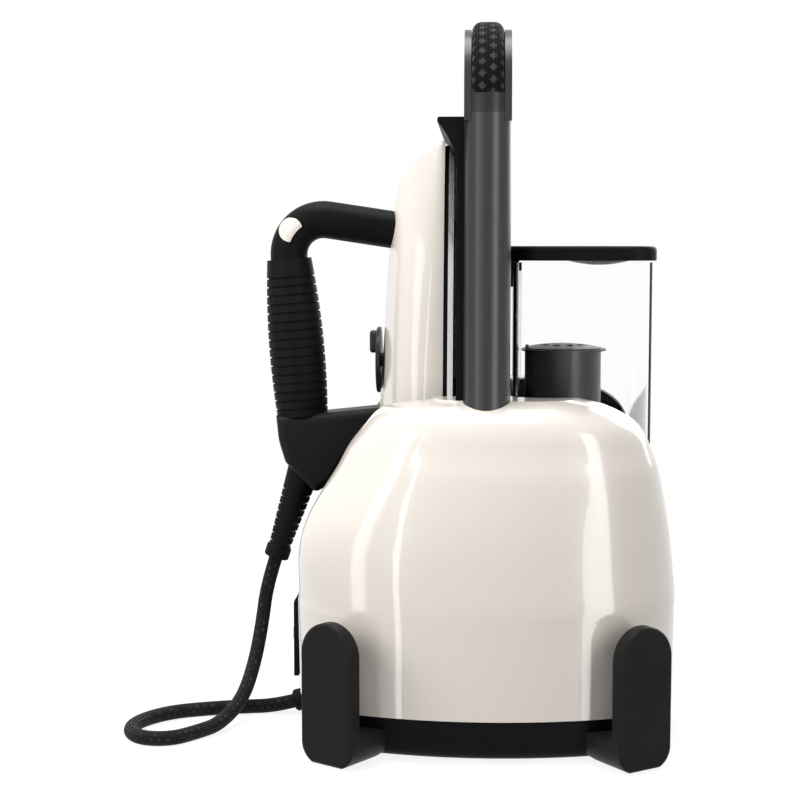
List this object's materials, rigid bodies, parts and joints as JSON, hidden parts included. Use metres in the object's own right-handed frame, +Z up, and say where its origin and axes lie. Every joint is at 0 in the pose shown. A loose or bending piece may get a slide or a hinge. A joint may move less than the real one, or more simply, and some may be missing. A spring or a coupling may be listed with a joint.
{
  "type": "steam ironing station",
  "caption": "Upright steam ironing station: white base on black feet, woven carry handle, docked iron with looped hose, and a clear lift-out water tank with a hinged lid.",
  "frame": {"origin": "on the floor under the middle of the station's outline, hose left out", "axes": "+Z up; +X from the docked iron towards the water tank; +Y from the near end to the far end, so the picture looks along +Y"},
  "size_m": [0.3015, 0.28, 0.385],
  "materials": {
    "pearl_white": "pearl white gloss plastic",
    "black_plastic": "fine-grained black plastic",
    "black_satin": "satin black plastic",
    "dark_trim": "dark grey satin plastic",
    "clear_plastic": "clear moulded plastic",
    "woven_grip": "black woven sleeve with rows of pale flecks",
    "woven_hose": "black woven textile cover",
    "sole_metal": "smooth satin aluminium",
    "cast_aluminium": "cast aluminium",
    "steel": "plain steel",
    "dark_metal": "dark painted steel",
    "brass": "plain brass",
    "rubber": "black moulded rubber",
    "grip_rubber": "ribbed soft black rubber",
    "silicone": "grey silicone",
    "board_green": "circuit board laminate"
  },
  "bodies": {
    "base": {"base_pan": "black_plastic", "outer_shell": "pearl_white", "foot_near_left": "black_satin", "foot_near_right": "black_satin", "foot_far_left": "black_satin", "foot_far_right": "black_satin", "foot_pads": "rubber", "foot_screws": "steel", "handle_frame": "black_satin", "handle_core": "steel", "handle_collars": "dark_trim", "grip_sleeve": "woven_grip", "dock_panel": "black_plastic", "dock_pads": "silicone", "iron_bay": "black_plastic", "heel_rest": "silicone", "tank_bay": "black_plastic", "valve_socket": "rubber", "boiler_lower": "steel", "boiler_upper": "steel", "boiler_heater": "cast_aluminium", "boiler_thermostat": "brass", "pump_bracket": "black_plastic", "water_pump": "dark_metal", "water_tube": "silicone", "solenoid_valve": "brass", "steam_tube": "silicone", "steam_line": "silicone", "control_board": "board_green", "hose_gland": "rubber", "mains_gland": "rubber", "power_switch": "black_plastic", "cord_strap": "rubber", "strap_stud": "steel", "steam_hose": "woven_hose"},
    "iron": {"soleplate": "sole_metal", "sole_skirt": "black_plastic", "iron_casting": "cast_aluminium", "iron_cover": "pearl_white", "rear_housing": "black_plastic", "iron_handle": "black_satin", "iron_grip": "grip_rubber", "hose_boot": "rubber"},
    "steam_button_near": {"steam_button_near": "pearl_white"},
    "steam_button_far": {"steam_button_far": "pearl_white"},
    "temperature_dial": {"temperature_dial": "dark_trim"},
    "tank": {"tank_vessel": "clear_plastic", "tank_valve": "dark_trim", "hinge_bracket": "black_plastic", "hinge_pin": "steel"},
    "lid": {"tank_lid": "black_plastic", "fill_dish": "dark_trim"},
    "cartridge": {"filter_cup": "black_plastic"},
    "filter_cap": {"filter_cap": "dark_trim"},
    "power_button": {"power_button": "dark_trim"}
  },
  "joints": [
    {"name": "iron_undock", "type": "slide", "parent": "base", "child": "iron", "axis": [-0.9135, 0, 0.4067], "range_m": [0, 0.1]},
    {"name": "steam_button_near_press", "type": "slide", "parent": "iron", "child": "steam_button_near", "axis": [0, 1, 0], "range_m": [0, 0.0015], "stiffness_N_per_m": 600},
    {"name": "steam_button_far_press", "type": "slide", "parent": "iron", "child": "steam_button_far", "axis": [0, -1, 0], "range_m": [0, 0.0015], "stiffness_N_per_m": 600},
    {"name": "temperature_dial_turn", "type": "hinge", "parent": "iron", "child": "temperature_dial", "pos_m": [-0.0486, 0, 0.2015], "axis": [1, 0, 0], "range_deg": [-135, 135]},
    {"name": "tank_lift", "type": "slide", "parent": "base", "child": "tank", "axis": [0, 0, 1], "range_m": [0, 0.12]},
    {"name": "tank_lid_open", "type": "hinge", "parent": "tank", "child": "lid", "pos_m": [0.0276, 0, 0.2645], "axis": [0, -1, 0], "range_deg": [0, 90]},
    {"name": "cartridge_lift", "type": "slide", "parent": "tank", "child": "cartridge", "axis": [0, 0, 1], "range_m": [0, 0.04]},
    {"name": "filter_cap_lift", "type": "slide", "parent": "cartridge", "child": "filter_cap", "axis": [0, 0, 1], "range_m": [0, 0.03]},
    {"name": "power_button_press", "type": "slide", "parent": "base", "child": "power_button", "axis": [0, -1, 0], "range_m": [0, 0.002], "stiffness_N_per_m": 600}
  ]
}
